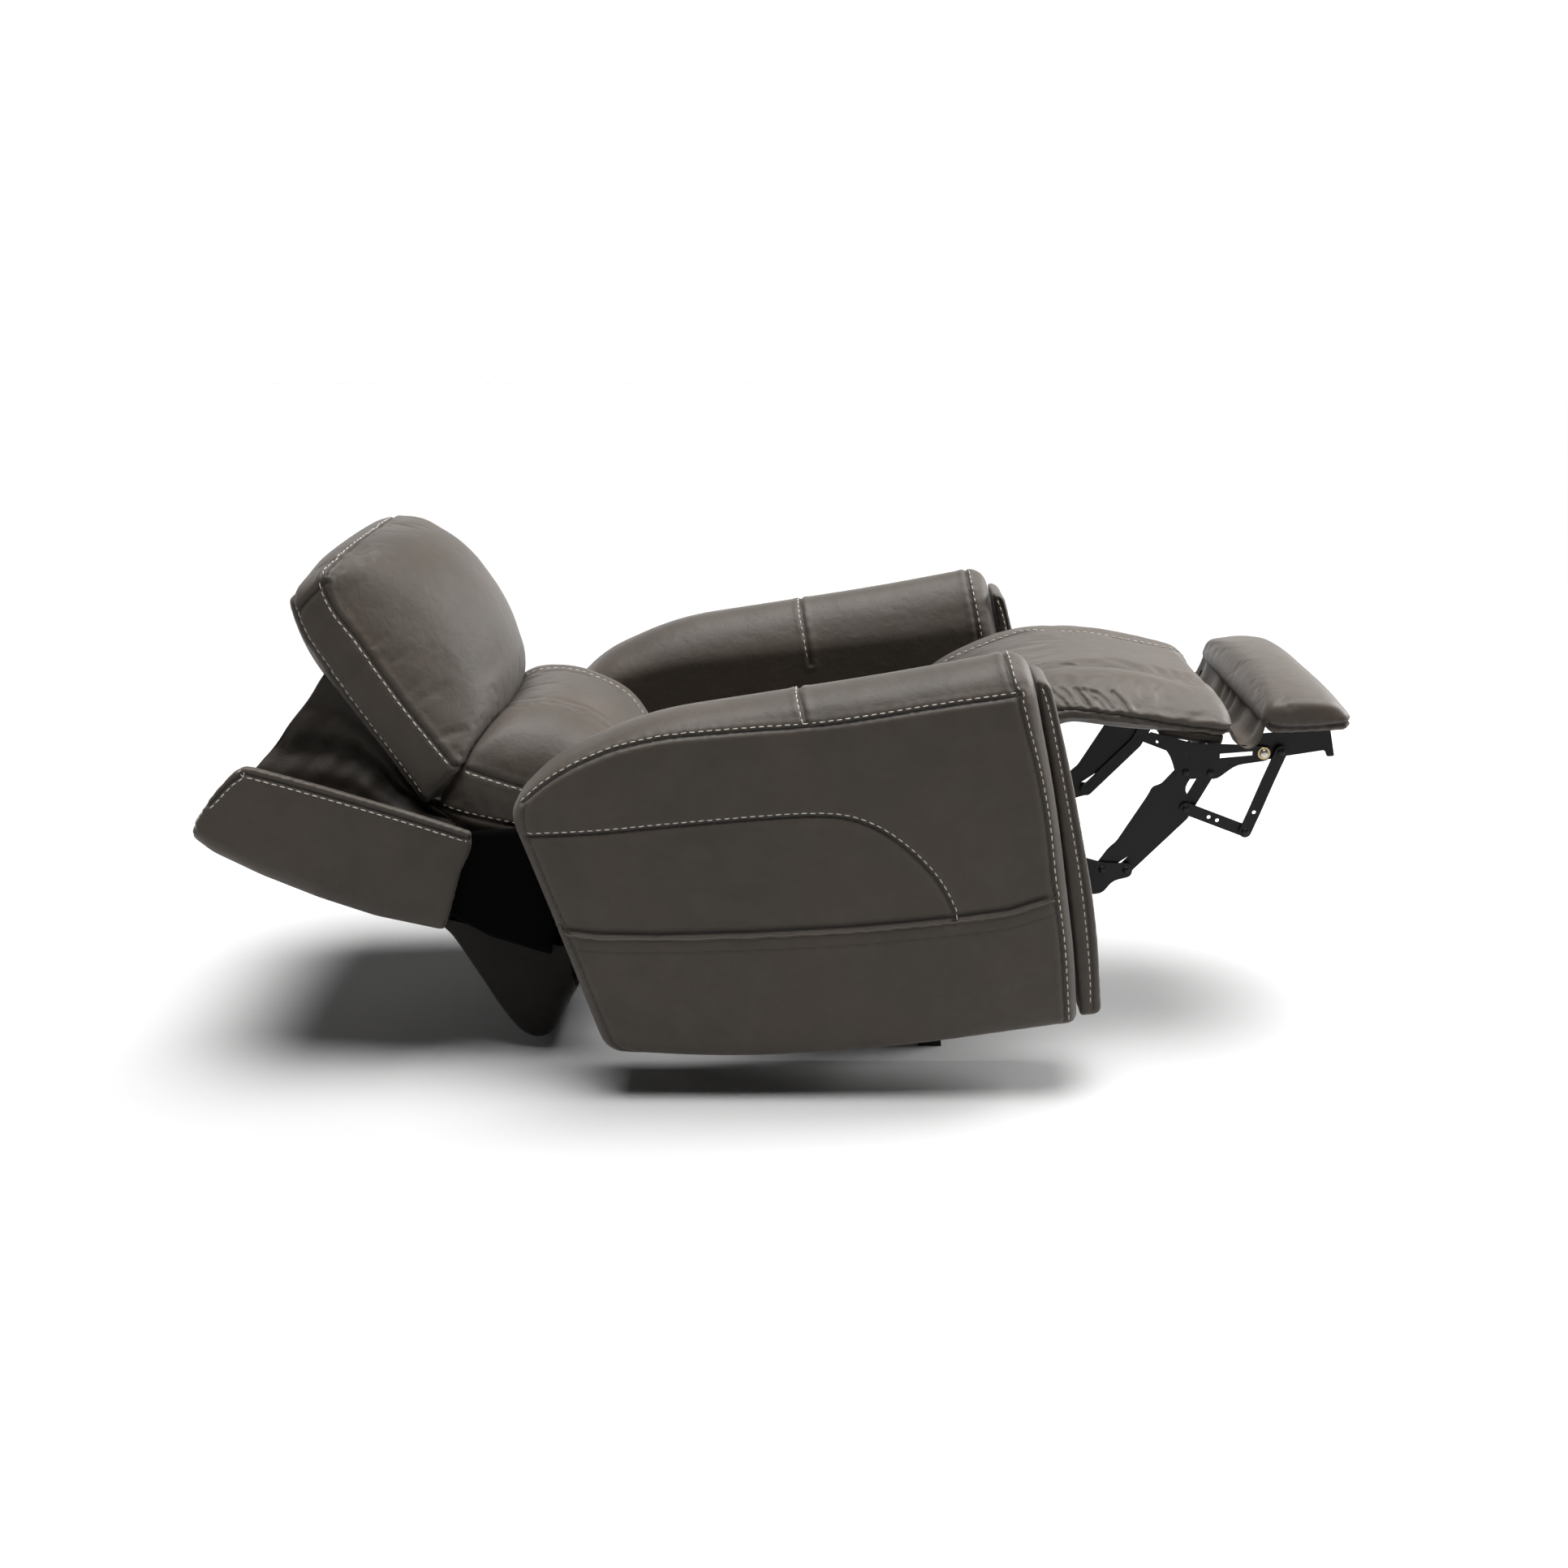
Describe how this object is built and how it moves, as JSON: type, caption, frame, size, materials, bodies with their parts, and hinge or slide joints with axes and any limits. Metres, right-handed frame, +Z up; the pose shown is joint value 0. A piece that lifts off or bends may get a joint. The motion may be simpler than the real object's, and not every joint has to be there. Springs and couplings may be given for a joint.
{
  "type": "recliner armchair",
  "caption": "Leather power rocker recliner armchair, fully reclined, with padded arms, tilting headrest, chaise footrest and folding flipper on flat steel links.",
  "frame": {"origin": "centre of the bounding box's base, on the floor", "axes": "+X towards the sitter's feet, +Y to the sitter's left, +Z up"},
  "size_m": [1.8746, 0.89, 0.865],
  "materials": {
    "leather": "matt",
    "black_steel": "satin",
    "zinc": "satin",
    "wood": "matt",
    "plastic": "matt"
  },
  "bodies": {
    "base": {"base_rail_L": "black_steel", "base_rail_R": "black_steel", "base_crossbar_front": "black_steel", "base_crossbar_rear": "black_steel"},
    "chassis": {"arm_cover_L": "leather", "arm_cover_R": "leather", "arm_core_L": "wood", "arm_core_R": "wood", "arm_facing_L": "leather", "arm_facing_R": "leather", "rocker_cam_L": "black_steel", "rocker_cam_R": "black_steel", "mechanism_plate_L": "black_steel", "mechanism_plate_R": "black_steel", "recline_hinge_plate_L": "black_steel", "recline_hinge_plate_R": "black_steel", "seat_cushion": "leather", "chaise_pad_rear": "leather", "front_rail": "wood", "rear_rail": "wood", "seat_spring_mat": "zinc", "chassis_cross_tube": "black_steel", "footrest_motor": "plastic", "footrest_motor_rail": "plastic", "recline_motor": "plastic", "recline_motor_rail": "plastic", "control_panel": "plastic", "power_inlet": "plastic"},
    "back": {"back_upright_L": "black_steel", "back_upright_R": "black_steel", "back_wing_L": "leather", "back_wing_R": "leather", "back_lower_rail": "black_steel", "lumbar_cushion": "leather", "outer_back_panel": "leather", "headrest_motor": "plastic", "rear_flap": "leather"},
    "headrest": {"headrest_board": "wood", "headrest_cushion": "leather"},
    "headrest_rod": {"headrest_rod": "zinc"},
    "ottoman": {"ottoman_board": "wood", "chaise_pad_front": "leather", "ottoman_frame": "black_steel"},
    "flipper": {"flipper_board": "wood", "flipper_pad": "leather", "flipper_frame": "black_steel"},
    "drive_arms": {"drive_arms": "black_steel"},
    "main_links": {"main_link_L": "black_steel", "main_link_R": "black_steel"},
    "second_links": {"second_link_L": "black_steel", "second_link_R": "black_steel"},
    "push_links": {"push_link_L": "black_steel", "push_link_R": "black_steel"},
    "down_links": {"down_link_L": "black_steel", "down_link_R": "black_steel"},
    "footrest_carriage": {"footrest_carriage": "plastic"},
    "recline_carriage": {"recline_carriage": "plastic"},
    "button_recline": {"button_recline": "plastic"},
    "button_headrest": {"button_headrest": "plastic"},
    "button_home": {"button_home": "plastic"}
  },
  "joints": [
    {"name": "rock", "type": "hinge", "parent": "base", "child": "chassis", "pos_m": [0.108, 0, 0.61], "axis": [0, 1, 0], "range_deg": [0, 12]},
    {"name": "recline", "type": "hinge", "parent": "chassis", "child": "back", "pos_m": [-0.252, 0, 0.375], "axis": [0, 1, 0], "range_deg": [0, 55], "deforming": ["rear_flap"]},
    {"name": "headrest_tilt", "type": "hinge", "parent": "back", "child": "headrest", "pos_m": [-0.552, 0, 0.43], "axis": [0, 1, 0], "range_deg": [-40, 0]},
    {"name": "footrest", "type": "hinge", "parent": "chassis", "child": "ottoman", "pos_m": [0.438, 0, 0.555], "axis": [0, 1, 0], "range_deg": [0, 68]},
    {"name": "flipper", "type": "hinge", "parent": "ottoman", "child": "flipper", "pos_m": [0.792, 0, 0.523], "axis": [0, 1, 0], "range_deg": [0, 95.01]},
    {"name": "drive_arm", "type": "hinge", "parent": "chassis", "child": "drive_arms", "pos_m": [0.309, 0, 0.388], "axis": [0, 1, 0], "range_deg": [0, 68.01]},
    {"name": "main_link", "type": "hinge", "parent": "ottoman", "child": "main_links", "pos_m": [0.667, 0, 0.491], "axis": [0, 1, 0], "range_deg": [-68.01, 0]},
    {"name": "second_link", "type": "hinge", "parent": "ottoman", "child": "second_links", "pos_m": [0.707, 0, 0.49], "axis": [0, 1, 0], "range_deg": [-68.01, 0]},
    {"name": "push_link", "type": "hinge", "parent": "main_links", "child": "push_links", "pos_m": [0.671, 0, 0.429], "axis": [0, 1, 0], "range_deg": [0, 134.91]},
    {"name": "down_link", "type": "hinge", "parent": "flipper", "child": "down_links", "pos_m": [0.819, 0, 0.526], "axis": [0, 1, 0], "range_deg": [-89.31, 0]},
    {"name": "headrest_actuator", "type": "slide", "parent": "back", "child": "headrest_rod", "axis": [-0.9659, 0, 0.2588], "range_m": [-0.04101, 0]},
    {"name": "footrest_actuator", "type": "slide", "parent": "chassis", "child": "footrest_carriage", "axis": [0.9925, 0, 0.1219], "range_m": [-0.06161, 0]},
    {"name": "recline_actuator", "type": "slide", "parent": "chassis", "child": "recline_carriage", "axis": [0.9925, 0, 0.1219], "range_m": [-0.08751, 0]},
    {"name": "button_recline", "type": "slide", "parent": "chassis", "child": "button_recline", "axis": [0, -1, 0], "range_m": [0, 0.002], "stiffness_N_per_m": 600, "springref_m": -0.0005},
    {"name": "button_headrest", "type": "slide", "parent": "chassis", "child": "button_headrest", "axis": [0, -1, 0], "range_m": [0, 0.002], "stiffness_N_per_m": 600, "springref_m": -0.0005},
    {"name": "button_home", "type": "slide", "parent": "chassis", "child": "button_home", "axis": [0, -1, 0], "range_m": [0, 0.002], "stiffness_N_per_m": 600, "springref_m": -0.0005}
  ],
  "couplings": [
    {"joint": "flipper", "follows": "footrest", "ratio": 1.3971},
    {"joint": "drive_arm", "follows": "footrest", "ratio": 1},
    {"joint": "main_link", "follows": "footrest", "ratio": -1},
    {"joint": "second_link", "follows": "footrest", "ratio": -1},
    {"joint": "push_link", "follows": "footrest", "ratio": 1.9838},
    {"joint": "down_link", "follows": "footrest", "ratio": -1.3132},
    {"joint": "footrest_actuator", "follows": "footrest", "m_per_rad": -0.051903},
    {"joint": "recline_actuator", "follows": "recline", "m_per_rad": -0.091152},
    {"joint": "headrest_actuator", "follows": "headrest_tilt", "m_per_rad": 0.058728}
  ]
}
